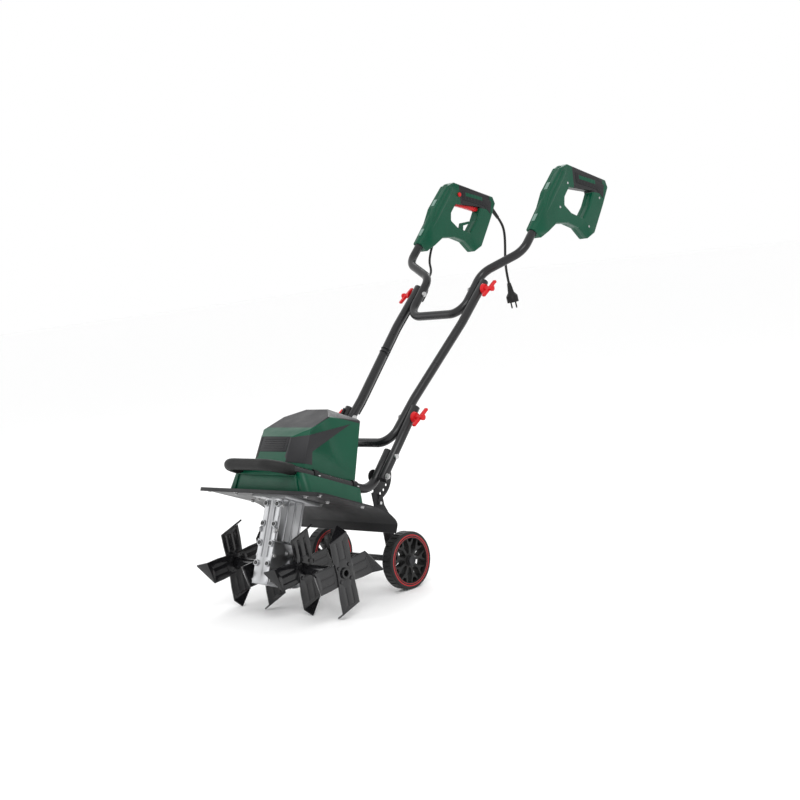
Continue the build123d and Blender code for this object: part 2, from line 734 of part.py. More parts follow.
# ---------------------------------------------------------------- tines
with BuildPart() as tine_shaft:
    with BuildSketch(side(-shaft_end_x)):
        with Locations((0, tine_axis_z)):
            Circle(shaft_r)
    extrude(amount=2 * shaft_end_x)
    with BuildSketch(Plane(origin=(0, tine_axis_y, tine_axis_z), z_dir=(0, 1, 0), x_dir=(1, 0, 0))):
        with Locations((100, 0), (-100, 0)):
            Circle(rivet_r)
    extrude(amount=hub_r, both=True, mode=Mode.SUBTRACT)
save(tine_shaft.part, "tine_shaft")

with BuildPart() as worm_wheel:
    with BuildSketch(deck_side(-worm_wheel_w / 2)):
        with Locations((tine_u, tine_n)):
            Circle(wheel_pitch_r - tooth_h)
            with PolarLocations(wheel_pitch_r - 1.0, worm_teeth, start_angle=180.0 / worm_teeth):
                Rectangle(2 * tooth_h + 2.0, tooth_t)
            Circle(shaft_r, mode=Mode.SUBTRACT)
    extrude(amount=worm_wheel_w)
save(worm_wheel.part, "worm_wheel")

for s, label in ((1, "left"), (-1, "right")):
    with BuildPart() as hub:
        with BuildSketch(side(s * hub_x0)):
            with Locations((0, tine_axis_z)):
                Circle(hub_r)
                Circle(shaft_r, mode=Mode.SUBTRACT)
        extrude(amount=s * (hub_x1 - hub_x0))
        with BuildSketch(Plane(origin=(s * 100.0, tine_axis_y, tine_axis_z), z_dir=(0, 1, 0))):
            Circle(rivet_r)
        extrude(amount=hub_r + 1, both=True, mode=Mode.SUBTRACT)
    save(hub.part, f"hub_{label}")


def tine_axes(turn):
    """A blade's own directions: outward from the axis, and square to it towards its trailing edge."""
    a = radians(turn)
    return Vector(0, sin(a), -cos(a)), Vector(0, cos(a), sin(a))


def rivet_spots(turn):
    r, p = tine_axes(turn + 45)
    return [(d.Y * rivet_ring, tine_axis_z + d.Z * rivet_ring) for d in (r, p, r * -1, p * -1)]


def star_bar(x, turn, bend_to):
    """One steel bar of a star: two blades with bent cutting tips; bend_to is the tips' way along X."""
    (r0, p0), (r1, p1) = bend_lead, bend_trail
    length = hypot(r1 - r0, p1 - p0)
    with BuildPart() as bar:
        for half_turn in (0, 180):
            r_dir, p_dir = tine_axes(turn + half_turn)
            centre = Vector(x, tine_axis_y, tine_axis_z)
            with BuildSketch(Plane(origin=centre, x_dir=r_dir, z_dir=(1, 0, 0))):
                Polygon((0, -blade_root), (0, blade_root), (r1 - 30, p1), (r1, p1), (r0, p0), (r0 - 36, p0),
                        align=None)
            extrude(amount=blade_t / 2, both=True)
            lead_end = centre + r_dir * r0 + p_dir * p0
            line = (r_dir * (r1 - r0) + p_dir * (p1 - p0)).normalized()
            flat = (r_dir * (p1 - p0) - p_dir * (r1 - r0)).normalized()
            rise = flat * cos(radians(tip_bend)) + Vector(bend_to, 0, 0) * sin(radians(tip_bend))
            with BuildSketch(Plane(origin=lead_end, x_dir=line, z_dir=line.cross(rise))):
                Polygon((0, 0), (length, 0), (length * 0.92, 3.0), (3.0, tip_len), (0, tip_len), align=None)
            extrude(amount=blade_t / 2, both=True)
            with BuildSketch(Plane(origin=lead_end, z_dir=line)):
                Circle(blade_t / 2)
            extrude(amount=length)
            with BuildSketch(Plane(origin=centre + Vector(blade_t / 2, 0, 0), x_dir=r_dir, z_dir=(1, 0, 0))):
                with Locations((56, -9), (56, 11)):
                    SlotOverall(44, 5)
            extrude(amount=-0.8, mode=Mode.SUBTRACT)
        with BuildSketch(side(x)):
            with Locations((0, tine_axis_z)):
                Circle(hub_r)
            with Locations(*rivet_spots(turn)):
                Circle(rivet_r)
        extrude(amount=blade_t, both=True, mode=Mode.SUBTRACT)
    return bar.part


star_plan = (("outer", outer_star_x, -1, 1), ("inner", inner_star_x, 1, -1))
for s, label in ((1, "left"), (-1, "right")):
    for place, face_x, upright_bend, level_bend in star_plan:
        with BuildPart() as star:
            add(star_bar(s * (face_x - blade_t / 2), star_phase, s * upright_bend))
            add(star_bar(s * (face_x - blade_t * 1.5), star_phase + 90, s * level_bend))
        save(star.part, f"star_{place}_{label}")

with BuildPart() as tine_fasteners:
    for s in (-1, 1):
        with BuildSketch(Plane(origin=(s * 100.0, tine_axis_y, tine_axis_z), z_dir=(0, 1, 0))):
            Circle(rivet_r)
        extrude(amount=hub_r + 3, both=True)
        for face_x in (outer_star_x, inner_star_x):
            for spot in rivet_spots(star_phase):
                with BuildSketch(side(s * face_x)):
                    with Locations(spot):
                        Circle(rivet_r)
                extrude(amount=-s * 2 * blade_t)
                with BuildSketch(side(s * face_x)):
                    with Locations(spot):
                        Circle(rivet_r * 1.6)
                extrude(amount=s * 2.0, taper=20)
save(tine_fasteners.part, "tine_fasteners")


# ---------------------------------------------------------------- wheels
strip_dir = at(0, axle_at) - at(0, pivot)
strip_len = strip_dir.length
strip_dir = strip_dir.normalized()

for s, label in ((1, "left"), (-1, "right")):
    with BuildPart() as wheel_arm:
        low = (s * (arm_x - arm_t), s * (arm_x - arm_t + arm_joggle))
        high = (s * arm_x, s * (arm_x + arm_joggle))
        with BuildSketch(Plane(origin=at(0, pivot), x_dir=(1, 0, 0), z_dir=strip_dir.cross(Vector(1, 0, 0)) * -1)):
            Polygon((low[0], 40), (low[0], joggle_start), (low[1], joggle_end), (low[1], strip_len + 30),
                    (high[1], strip_len + 30), (high[1], joggle_end - 1), (high[0], joggle_start - 1),
                    (high[0], 40), align=None)
        extrude(amount=arm_strip_w / 2, both=True)
        with BuildSketch(side(0)):
            with Locations(axle_at):
                Circle(arm_strip_w / 2)
            Polygon(*[(pivot[0] + d * strip_dir.Y + e * strip_dir.Z, pivot[1] + d * strip_dir.Z - e * strip_dir.Y)
                      for d, e in ((0, -18), (strip_len, -18), (strip_len, 18), (0, 18))], align=None)
        extrude(amount=150, both=True, mode=Mode.INTERSECT)
        with BuildSketch(side(s * (arm_x - arm_t))):
            with BuildLine():
                ends = [radians(arm_head_from), radians(arm_head_to)]
                mid = sum(ends) / 2
                rim = [(pivot[0] + arm_head_r * cos(a), pivot[1] + arm_head_r * sin(a))
                       for a in (ends[0], mid, ends[1])]
                ThreePointArc(*rim)
                Line(rim[2], pivot)
                Line(pivot, rim[0])
            make_face()
            with Locations(pivot):
                Circle(arm_lobe_r)
                Circle(bolt_r + fit, mode=Mode.SUBTRACT)
                for angle in lock_angles:
                    with Locations((lock_ring * cos(radians(angle)), lock_ring * sin(radians(angle)))):
                        Circle(lock_r, mode=Mode.SUBTRACT)
        extrude(amount=s * arm_t)
        with BuildSketch(side(s * arm_x)):
            with Locations(axle_at):
                Circle(axle_r)
        extrude(amount=40, both=True, mode=Mode.SUBTRACT)
        with BuildSketch(side(s * arm_x)):
            with Locations(pivot):
                Circle(bolt_r + fit)
                for angle in lock_angles:
                    with Locations((lock_ring * cos(radians(angle)), lock_ring * sin(radians(angle)))):
                        Circle(lock_r)
        extrude(amount=6, both=True, mode=Mode.SUBTRACT)
    save(wheel_arm.part, f"wheel_arm_{label}")

stop_at = (pivot[0] + strip_dir.Y * 72.0, pivot[1] + strip_dir.Z * 72.0)
with BuildPart() as stop_pins:
    for s in (-1, 1):
        with BuildSketch(side(s * arm_x)):
            with Locations(stop_at):
                Circle(4.0)
        extrude(amount=s * 8.0)
save(stop_pins.part, "stop_pins")

with BuildPart() as axle:
    with BuildSketch(side(-wheel_x1 - 3.0)):
        with Locations(axle_at):
            Circle(axle_r)
    extrude(amount=2 * (wheel_x1 + 3.0))
save(axle.part, "axle")

wheel_mid = (wheel_x0 + wheel_x1) / 2
for s, label in ((1, "left"), (-1, "right")):
    with BuildPart() as tyre:
        with BuildSketch(side(s * wheel_x0)):
            with Locations(axle_at):
                Circle(wheel_r)
                Circle(rim_r, mode=Mode.SUBTRACT)
        extrude(amount=s * (wheel_x1 - wheel_x0))
        fillet(tyre.edges().filter_by(GeomType.CIRCLE).sort_by(SortBy.RADIUS)[-2:], 4.0)
        with BuildSketch(side(s * (wheel_x0 + 6.0))):
            with Locations(axle_at):
                with PolarLocations(wheel_r, 36):
                    Rectangle(3.2, 3.6)
        extrude(amount=s * (wheel_x1 - wheel_x0 - 12.0), mode=Mode.SUBTRACT)
    save(tyre.part, f"tyre_{label}")
    with BuildPart() as rim:
        with BuildSketch(side(s * wheel_x0)):
            with Locations(axle_at):
                Circle(rim_r)
                Circle(rim_r - rim_ring, mode=Mode.SUBTRACT)
        extrude(amount=s * (wheel_x1 - wheel_x0))
        with BuildSketch(side(s * (wheel_mid - 9.0))):
            with Locations(axle_at):
                Circle(wheel_hub_r + 4.0)
                for k in range(spokes):
                    with PolarLocations(30.0, 1, start_angle=k * 360.0 / spokes):
                        Rectangle(34.0, 7.0)
                    for fork in (-9.0, 9.0):
                        with PolarLocations(49.0, 1, start_angle=k * 360.0 / spokes + fork):
                            Rectangle(22.0, 5.0, rotation=fork * 2.0)
        extrude(amount=s * 20.0)
        with BuildSketch(side(s * (wheel_x0 - 2.0))):
            with Locations(axle_at):
                Circle(wheel_hub_r)
        extrude(amount=s * (wheel_x1 - wheel_x0 + 2.0))
        with BuildSketch(side(s * (wheel_x0 - 5.0))):
            with Locations(axle_at):
                Circle(axle_r + fit)
        extrude(amount=s * (wheel_x1 - wheel_x0 + 10.0), mode=Mode.SUBTRACT)
    save(rim.part, f"rim_{label}")


# ---------------------------------------------------------------- grips
grip_outline = ((862, 846), (835, 872), (891, 930), (918, 972), (985, 1034), (1016, 1043), (1150, 1002),
                (1190, 990), (1199, 968), (1166, 917), (1112, 842), (1076, 828), (1040, 862), (995, 878),
                (940, 881), (900, 861))
grip_window = ((1014, 978), (1126, 961), (1100, 922), (1064, 887), (1012, 906), (984, 930), (988, 952))
rubber_outline = ((1046, 1020), (1145, 989), (1178, 976), (1168, 938), (1140, 965), (1046, 988))
trigger_outline = ((1022, 989), (1030, 993), (1126, 974), (1126, 953), (1112, 950), (1060, 964), (1026, 972))
trigger_pivot = (1032.0, 984.0)
button_at = (1031.0, 1005.0)
relief_from, relief_to = (1186.1, 965.4), (1222.0, 925.0)
cable_from = (915.0, 880.0)
hook_outline = ((1029, 896), (1045, 890), (1049, 911), (1080, 915), (1078, 922), (1040, 919))

lead_route = [at(-grip_x, relief_to), at(-grip_x, (1238, 907)), at(-grip_x, (1247, 880)),
              at(-grip_x - 1.0, (1246, 843)), at(-grip_x - 3.0, (1239, 790)), at(-grip_x - 2.0, (1238, 746)),
              at(-grip_x, (1241, 716))]

upper_cable_route = [at(-grip_x, cable_from), at(-grip_x, (893, 845)), at(-202, (868, 815)),
                     at(-168, (836, 786)), at(-128, along(upper_knob, upper_slope, 66.0, -cable_off - 6)),
                     at(-frame_x, along(upper_knob, upper_slope, 26.0, -cable_off)),
                     at(-frame_x, along(upper_knob, upper_slope, -12.0, -cable_off))]


def slant_x(distance):
    """Distance of the middle tube's axis from the middle plane, along its slanted length."""
    run = middle_length - slant_left - slant_start
    return frame_x + (leg_x - frame_x) * (distance - slant_start) / run


middle_cable_route = [at(-leg_x, along(lower_knob, handle_slope, middle_length - 45.0, -cable_off)),
                      at(-leg_x, along(lower_knob, handle_slope, middle_length - slant_left, -cable_off)),
                      at(-slant_x(slant_start), along(lower_knob, handle_slope, slant_start, -cable_off)),
                      at(-frame_x, along(lower_knob, handle_slope, 26.0, -cable_off))]

lower_cable_route = [at(-leg_x, along(lower_knob, lower_slope, 20.0, cable_off)),
                     at(-leg_x, along(lower_knob, lower_slope, -88.0, cable_off)),
                     at(-leg_x + 38, along(lower_knob, lower_slope, -108.0, cable_off + 14)),
                     deck_point(cable_gland[0] - 4, hood_rear[0][0] + 34, cable_gland[1] + 8),
                     deck_point(cable_gland[0], hood_rear[0][0] + 14, cable_gland[1]),
                     deck_point(cable_gland[0], hood_rear[0][0] - 4, cable_gland[1])]


def route_radii(route, label):
    """Bend radii of a route: each arc as large as its two runs allow."""
    radii = []
    for before, corner, after in zip(route, route[1:], route[2:]):
        turn = radians((corner - before).get_angle(after - corner))
        shorter = min((corner - before).length, (after - corner).length)
        radii.append(0.45 * shorter / tan(turn / 2))
    print(label, "bend radii", [round(r) for r in radii])
    return radii


def cable(name, route, r, radii=None):
    bends = radii or route_radii(route, name)
    solid = swept_bar(route, bends, r)
    with BuildLine() as axis:
        FilletPolyline(*route, radius=bends)
    length = sum(edge.length for edge in axis.edges())
    print(name, "length", round(length, 1), "volume ratio", round(solid.volume / (pi * r * r * length), 4))
    save(solid, name)
    return solid


cable("lead", lead_route, lead_r)
upper_cable = cable("upper_cable", upper_cable_route, cable_r)
cable("middle_cable", middle_cable_route, cable_r, [slant_r, slant_r])
cable("lower_cable", lower_cable_route, cable_r)


def soft_edges(part, x):
    """Outer edges of a grip shell at its outer face."""
    return part.faces().filter_by(lambda f: abs(f.center().X - x) < 0.01).edges()


def grip_shell(s, toward):
    """One half of a D-shaped grip on side s, on the side of its split given by toward (+1 or -1 along X)."""
    outer_x = s * grip_x + toward * grip_half
    with BuildPart() as shell:
        with BuildSketch(side(s * grip_x)):
            Polygon(*grip_outline, align=None)
        extrude(amount=toward * grip_half)
        with BuildSketch(side(s * grip_x)):
            Polygon(*grip_window, align=None)
        extrude(amount=toward * grip_half, mode=Mode.SUBTRACT)
        upright = shell.edges().filter_by(lambda e: e.geom_type == GeomType.LINE and abs((e % 0.5).X) > 0.99)
        fillet(upright, 5.0)
        fillet(soft_edges(shell, outer_x), grip_edge_r)
        with BuildSketch(side(s * grip_x)):
            Polygon(*grip_outline, align=None)
            Polygon(*grip_window, align=None, mode=Mode.SUBTRACT)
            offset(amount=-grip_wall - 2.0)
            low, high = along(upper_knob, upper_slope, 150.0), along(upper_knob, upper_slope, upper_tube_len + 4.0)
            w = tube_r + 3.0
            dy, dz = -w * sin(radians(upper_slope)), w * cos(radians(upper_slope))
            Polygon((low[0] + dy, low[1] + dz), (high[0] + dy, high[1] + dz), (high[0] - dy, high[1] - dz),
                    (low[0] - dy, low[1] - dz), align=None, mode=Mode.SUBTRACT)
        extrude(amount=toward * (grip_half - grip_wall), mode=Mode.SUBTRACT)
        add(swept_bar(both_sides(upper_half), upper_radii, tube_r), mode=Mode.SUBTRACT)
        with BuildSketch(side(outer_x - toward * (rubber_t - rubber_proud))):
            Polygon(*rubber_outline, align=None)
        extrude(amount=toward * rubber_t, mode=Mode.SUBTRACT)
        if s < 0:
            with BuildSketch(side(s * grip_x)):
                Polygon((1016, 992), (1024, 1004), (1134, 988), (1134, 948), (1020, 960), align=None)
            extrude(amount=toward * (trigger_half + gap), mode=Mode.SUBTRACT)
            with BuildSketch(side(s * grip_x)):
                Polygon(*hook_outline, align=None)
            extrude(amount=toward * 4.0)
            with BuildSketch(side(s * grip_x)):
                with Locations(trigger_pivot):
                    Circle(2.5)
            extrude(amount=toward * (grip_half - 1.0))
            with BuildSketch(Plane(origin=at(-grip_x, relief_from), z_dir=at(0, relief_to) - at(0, relief_from))):
                Circle(7.0)
            extrude(amount=40.0, mode=Mode.SUBTRACT)
            add(upper_cable, mode=Mode.SUBTRACT)
            if toward > 0:
                with BuildSketch(side(outer_x + 1.0)):
                    with Locations(button_at):
                        Circle(button_r + gap)
                extrude(amount=-11.0, mode=Mode.SUBTRACT)
    return shell.part


for s, kind in ((-1, "switch"), (1, "plain")):
    for toward in (-1, 1):
        where = "outer" if toward == s else "inner"
        save(grip_shell(s, toward), f"{kind}_grip_{where}")

with BuildPart() as grip_rubbers:
    for s in (-1, 1):
        for toward in (-1, 1):
            with BuildSketch(side(s * grip_x + toward * (grip_half - rubber_t + rubber_proud))):
                Polygon(*rubber_outline, align=None)
            extrude(amount=toward * rubber_t)
save(grip_rubbers.part, "grip_rubbers")

with BuildPart() as trigger:
    with BuildSketch(side(-grip_x)):
        Polygon(*trigger_outline, align=None)
        with Locations(trigger_pivot):
            Circle(2.5 + fit, mode=Mode.SUBTRACT)
    extrude(amount=trigger_half, both=True)
save(trigger.part, "trigger")

button_x = -grip_x + grip_half
with BuildPart() as lock_button:
    with BuildSketch(side(button_x + button_proud)):
        with Locations(button_at):
            Circle(button_r)
    extrude(amount=-button_proud - 6.0)
    fillet(lock_button.edges().sort_by(Axis.X)[-1], 2.0)
save(lock_button.part, "lock_button")


# ---------------------------------------------------------------- strain relief and plug
relief_dir = (at(0, relief_to) - at(0, relief_from)).normalized()
with BuildPart() as strain_relief:
    with BuildSketch(Plane(origin=at(-grip_x, relief_from), z_dir=relief_dir)):
        Circle(7.0)
    with BuildSketch(Plane(origin=at(-grip_x, relief_to), z_dir=relief_dir)):
        Circle(lead_r + 1.2)
    loft()
save(strain_relief.part, "strain_relief")

plug_from = lead_route[-1]
plug_dir = (plug_from - lead_route[-2]).normalized()


def plug_plane(distance):
    return Plane(origin=plug_from + plug_dir * distance, x_dir=(1, 0, 0), z_dir=plug_dir)


pin_gap = 19.0
with BuildPart() as plug:
    with BuildSketch(plug_plane(0)):
        Circle(6.0)
    with BuildSketch(plug_plane(30.0)):
        Circle(10.0)
    loft()
    with BuildSketch(plug_plane(30.0)):
        Circle(10.0)
    with BuildSketch(plug_plane(42.0)):
        Circle(18.5)
    loft()
    with BuildSketch(plug_plane(42.0)):
        Circle(18.5)
        with Locations((0, 19.5), (0, -19.5)):
            Circle(7.0, mode=Mode.SUBTRACT)
    extrude(amount=20.0)
    with BuildSketch(plug_plane(62.0)):
        with Locations((-pin_gap / 2, 0), (pin_gap / 2, 0)):
            Circle(2.4)
    extrude(amount=19.0)
save(plug.part, "plug")
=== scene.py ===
"""Looks of the electric garden cultivator, built over its CAD frame. Metres."""

import json
from math import cos, radians, sin

import bpy
from mathutils import Matrix, Vector

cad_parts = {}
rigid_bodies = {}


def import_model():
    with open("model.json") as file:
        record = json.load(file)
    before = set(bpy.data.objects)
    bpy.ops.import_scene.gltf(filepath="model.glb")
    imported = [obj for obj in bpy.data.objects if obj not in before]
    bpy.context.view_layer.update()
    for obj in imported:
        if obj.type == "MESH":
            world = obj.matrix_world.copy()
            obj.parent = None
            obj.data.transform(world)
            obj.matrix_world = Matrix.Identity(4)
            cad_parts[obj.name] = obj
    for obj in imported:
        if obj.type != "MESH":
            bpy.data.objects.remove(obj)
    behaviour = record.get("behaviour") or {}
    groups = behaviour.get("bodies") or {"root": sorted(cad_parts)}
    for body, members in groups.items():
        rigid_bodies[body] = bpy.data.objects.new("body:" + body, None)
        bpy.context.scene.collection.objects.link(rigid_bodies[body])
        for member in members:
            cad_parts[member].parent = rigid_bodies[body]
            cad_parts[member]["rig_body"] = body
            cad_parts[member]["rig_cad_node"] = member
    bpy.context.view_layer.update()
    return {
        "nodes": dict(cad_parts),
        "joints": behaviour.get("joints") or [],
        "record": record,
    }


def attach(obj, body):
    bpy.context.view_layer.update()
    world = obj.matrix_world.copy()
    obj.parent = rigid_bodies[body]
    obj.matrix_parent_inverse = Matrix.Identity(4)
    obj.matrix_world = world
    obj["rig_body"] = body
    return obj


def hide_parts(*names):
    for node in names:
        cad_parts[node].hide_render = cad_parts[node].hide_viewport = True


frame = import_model()
nodes = frame["nodes"]
joint_at = {j["name"]: Vector(j.get("pos_m") or (0, 0, 0)) for j in frame["joints"]}

tine_axis = joint_at["tine_spin"]
pivot = joint_at["wheel_swing"]
lower_knob = joint_at["middle_fold"]
upper_knob = joint_at["upper_fold"]
axle = joint_at["wheel_left_spin"]
motor = joint_at["rotor_spin"]

# ---- the deck: the tilted plane of the frame's rails ----
deck_tilt = radians(22.5)
deck_x = Vector((1, 0, 0))
deck_u = Vector((0, cos(deck_tilt), -sin(deck_tilt)))
deck_n = Vector((0, sin(deck_tilt), cos(deck_tilt)))
deck_origin = Vector((0, tine_axis.y + 0.0225, 0.344))
handle_slope, upper_slope, leg_slope = radians(42.2), radians(44.2), radians(46.5)
tube_r = 0.012
frame_x = 0.099
leg_x = 0.1233
grip_x = 0.214
guard_n = -0.054
motor_u = (motor - deck_origin).dot(deck_u)


def deck_place(x, u, n):
    return deck_origin + deck_x * x + deck_u * u + deck_n * n


def axes(place, x_axis, y_axis, z_axis):
    """Matrix that puts a piece made at the origin at a place, along three directions."""
    m = Matrix.Identity(4)
    for i, axis in enumerate((x_axis, y_axis, z_axis)):
        for k in range(3):
            m[k][i] = axis[k]
        m[i][3] = place[i]
    return m


def slope_place(x, start, slope, distance, lift=0.0):
    """Point along a tube of a given slope, lifted square to it towards the front."""
    return Vector((x, start.y + distance * cos(slope) - lift * sin(slope),
                   start.z + distance * sin(slope) + lift * cos(slope)))


# ---------------------------------------------------------------- materials
def new_material(name, colour, roughness, metallic=0.0, coat=0.0):
    mat = bpy.data.materials.new(name)
    mat.use_nodes = True
    shader = mat.node_tree.nodes["Principled BSDF"]
    shader.inputs["Base Color"].default_value = (*colour, 1)
    shader.inputs["Roughness"].default_value = roughness
    shader.inputs["Metallic"].default_value = metallic
    shader.inputs["Coat Weight"].default_value = coat
    shader.inputs["Coat Roughness"].default_value = 0.12
    shader.inputs["Specular IOR Level"].default_value = 0.5 if metallic else 0.24
    return mat, shader


def noise(mat, scale, detail=4.0, stretch=(1, 1, 1)):
    tree = mat.node_tree
    coords = tree.nodes.new("ShaderNodeTexCoord")
    mapping = tree.nodes.new("ShaderNodeMapping")
    mapping.inputs["Scale"].default_value = stretch
    texture = tree.nodes.new("ShaderNodeTexNoise")
    texture.inputs["Scale"].default_value = scale
    texture.inputs["Detail"].default_value = detail
    tree.links.new(coords.outputs["Object"], mapping.inputs["Vector"])
    tree.links.new(mapping.outputs["Vector"], texture.inputs["Vector"])
    return texture


def ramp(mat, source, stops, colour=True):
    tree = mat.node_tree
    node = tree.nodes.new("ShaderNodeValToRGB")
    elements = node.color_ramp.elements
    while len(elements) < len(stops):
        elements.new(0.5)
    for element, (position, value) in zip(elements, stops):
        element.position = position
        element.color = (*value, 1) if colour else (value, value, value, 1)
    tree.links.new(source, node.inputs["Fac"])
    return node


def tinted(mat, shader, colour, spread, scale):
    """Slow colour variation about a colour."""
    texture = noise(mat, scale, 3.0)
    dark = tuple(c * (1 - spread) for c in colour)
    light = tuple(min(1.0, c * (1 + spread)) for c in colour)
    tone = ramp(mat, texture.outputs["Fac"], [(0.3, dark), (0.7, light)])
    mat.node_tree.links.new(tone.outputs["Color"], shader.inputs["Base Color"])


def uneven_gloss(mat, shader, low, high, scale):
    texture = noise(mat, scale, 5.0)
    tone = ramp(mat, texture.outputs["Fac"], [(0.3, low), (0.7, high)], colour=False)
    mat.node_tree.links.new(tone.outputs["Color"], shader.inputs["Roughness"])


def grain(mat, shader, scale, strength, distance=0.0004, stretch=(1, 1, 1)):
    texture = noise(mat, scale, 2.0, stretch)
    bump = mat.node_tree.nodes.new("ShaderNodeBump")
    bump.inputs["Strength"].default_value = strength
    bump.inputs["Distance"].default_value = distance
    mat.node_tree.links.new(texture.outputs["Fac"], bump.inputs["Height"])
    mat.node_tree.links.new(bump.outputs["Normal"], shader.inputs["Normal"])


def finish_material(name, colour, rough, metallic=0.0, coat=0.0, spread=0.12, tone_scale=9.0,
                    grain_scale=900.0, grain_strength=0.25, stretch=(1, 1, 1)):
    mat, shader = new_material(name, colour, sum(rough) / 2, metallic, coat)
    tinted(mat, shader, colour, spread, tone_scale)
    uneven_gloss(mat, shader, rough[0], rough[1], tone_scale * 3)
    grain(mat, shader, grain_scale, grain_strength, stretch=stretch)
    return mat


green = (0.0, 0.062, 0.031)
black_soft = (0.013, 0.013, 0.014)
powder_coat = finish_material("powder_coat", (0.012, 0.012, 0.013), (0.24, 0.34), coat=0.25,
                              grain_scale=1400, grain_strength=0.18)
sheet_black = finish_material("sheet_black", (0.011, 0.011, 0.012), (0.36, 0.48), grain_scale=700)
tine_enamel = finish_material("tine_enamel", (0.007, 0.007, 0.008), (0.16, 0.3), coat=0.5, grain_scale=300,
                              grain_strength=0.12)
green_plastic = finish_material("green_plastic", green, (0.3, 0.4), spread=0.08,
                                grain_scale=1600, grain_strength=0.2)
dark_plastic = finish_material("dark_plastic", (0.02, 0.02, 0.022), (0.34, 0.46), grain_scale=1300,
                               grain_strength=0.3)
red_plastic = finish_material("red_plastic", (0.56, 0.010, 0.014), (0.26, 0.34), spread=0.05,
                              grain_scale=900, grain_strength=0.08)
pale_marker = finish_material("pale_marker", (0.16, 0.26, 0.22), (0.2, 0.3), grain_scale=600)
soft_grip = finish_material("soft_grip", (0.012, 0.012, 0.012), (0.5, 0.62), grain_scale=1100,
                            grain_strength=0.5)
cast_aluminium = finish_material("cast_aluminium", (0.44, 0.445, 0.455), (0.3, 0.44), metallic=1.0,
                                 spread=0.08, grain_scale=420, grain_strength=0.35)
zinc_steel = finish_material("zinc_steel", (0.5, 0.5, 0.5), (0.25, 0.4), metallic=1.0, grain_scale=500,
                             stretch=(1, 1, 6))
cable_sheath = finish_material("cable_sheath", (0.01, 0.01, 0.01), (0.4, 0.5), grain_scale=900)
copper_wire = finish_material("copper_wire", (0.6, 0.25, 0.1), (0.25, 0.4), metallic=1.0, grain_scale=300)
bronze = finish_material("bronze", (0.6, 0.42, 0.2), (0.3, 0.45), metallic=1.0, grain_scale=300)


def times(tree, first, second):
    node = tree.nodes.new("ShaderNodeMath")
    node.operation = "MULTIPLY"
    tree.links.new(first, node.inputs[0])
    tree.links.new(second, node.inputs[1])
    return node.outputs["Value"]


def lay_over(mat, mask, colour):
    """Mixes a second colour into a material's own where the mask is 1."""
    tree = mat.node_tree
    shader = tree.nodes["Principled BSDF"]
    old = shader.inputs["Base Color"].links[0].from_socket
    mix = tree.nodes.new("ShaderNodeMix")
    mix.data_type = "RGBA"
    mix.inputs[7].default_value = (*colour, 1)
    tree.links.new(mask, mix.inputs[0])
    tree.links.new(old, mix.inputs[6])
    tree.links.new(mix.outputs[2], shader.inputs["Base Color"])


def side_mask(tree, coords, direction, start, stop):
    """1 where a point lies between two distances along a side-view direction (y, z), in millimetres."""
    across = tree.nodes.new("ShaderNodeVectorMath")
    across.operation = "DOT_PRODUCT"
    across.inputs[1].default_value = (0, direction[0], direction[1])
    tree.links.new(coords.outputs["Object"], across.inputs[0])
    middle = tine_axis.y * direction[0] + (start + stop) / 2000
    within = tree.nodes.new("ShaderNodeMath")
    within.operation = "COMPARE"
    within.inputs[1].default_value = middle
    within.inputs[2].default_value = (stop - start) / 2000
    tree.links.new(across.outputs["Value"], within.inputs[0])
    return within.outputs["Value"]


def patched(name, base, patch, first_band, second_band, rough):
    """Plastic of one colour with a second one where both bands hold."""
    mat = finish_material(name, base, rough, spread=0.08, grain_scale=1300, grain_strength=0.25)
    tree = mat.node_tree
    coords = tree.nodes.new("ShaderNodeTexCoord")
    masks = [side_mask(tree, coords, *band) for band in (first_band, second_band)]
    lay_over(mat, times(tree, *masks), patch)
    return mat


def ringed(name, base, ring_from, ring_to):
    """Plastic of a wheel with a red ring between two radii from the axle."""
    mat = finish_material(name, base, (0.35, 0.5), grain_scale=900)
    tree = mat.node_tree
    coords = tree.nodes.new("ShaderNodeTexCoord")
    mapping = tree.nodes.new("ShaderNodeMapping")
    mapping.inputs["Location"].default_value = (0, -axle.y, -axle.z)
    flat = tree.nodes.new("ShaderNodeVectorMath")
    flat.operation = "MULTIPLY"
    flat.inputs[1].default_value = (0, 1, 1)
    radius = tree.nodes.new("ShaderNodeVectorMath")
    radius.operation = "LENGTH"
    tree.links.new(coords.outputs["Object"], mapping.inputs["Vector"])
    tree.links.new(mapping.outputs["Vector"], flat.inputs[0])
    tree.links.new(flat.outputs["Vector"], radius.inputs[0])
    top = 0.08
    band = ramp(mat, scaled(tree, radius.outputs["Value"], 1 / top),
                [(0.0, 0.0), (ring_from / top, 1.0), (ring_to / top, 0.0)], colour=False)
    band.color_ramp.interpolation = "CONSTANT"
    lay_over(mat, band.outputs["Color"], (0.5, 0.01, 0.015))
    return mat


def scaled(tree, socket, factor):
    node = tree.nodes.new("ShaderNodeMath")
    node.operation = "MULTIPLY"
    node.inputs[1].default_value = factor
    tree.links.new(socket, node.inputs[0])
    return node.outputs["Value"]


bar_slope = (0.152, 1.0)          # square to the handle bar's underside
grip_green = patched("grip_green", green, black_soft, ((1, 0), 1034, 1172), (bar_slope, 1129, 1300),
                     (0.34, 0.46))
grip_pad = patched("grip_pad", black_soft, green, ((1, 0), 1060, 1136), ((0.25, 1.0), 1264, 1275),
                   (0.46, 0.58))
rim_plastic = ringed("rim_plastic", (0.012, 0.012, 0.012), 0.0588, 0.0600)
tyre_ringed = ringed("tyre_ringed", (0.013, 0.013, 0.013), 0.0634, 0.0654)


# ---------------------------------------------------------------- CAD pieces with softened edges
def deselect():
    bpy.ops.object.select_all(action="DESELECT")


def activate(obj):
    deselect()
    obj.select_set(True)
    bpy.context.view_layer.objects.active = obj


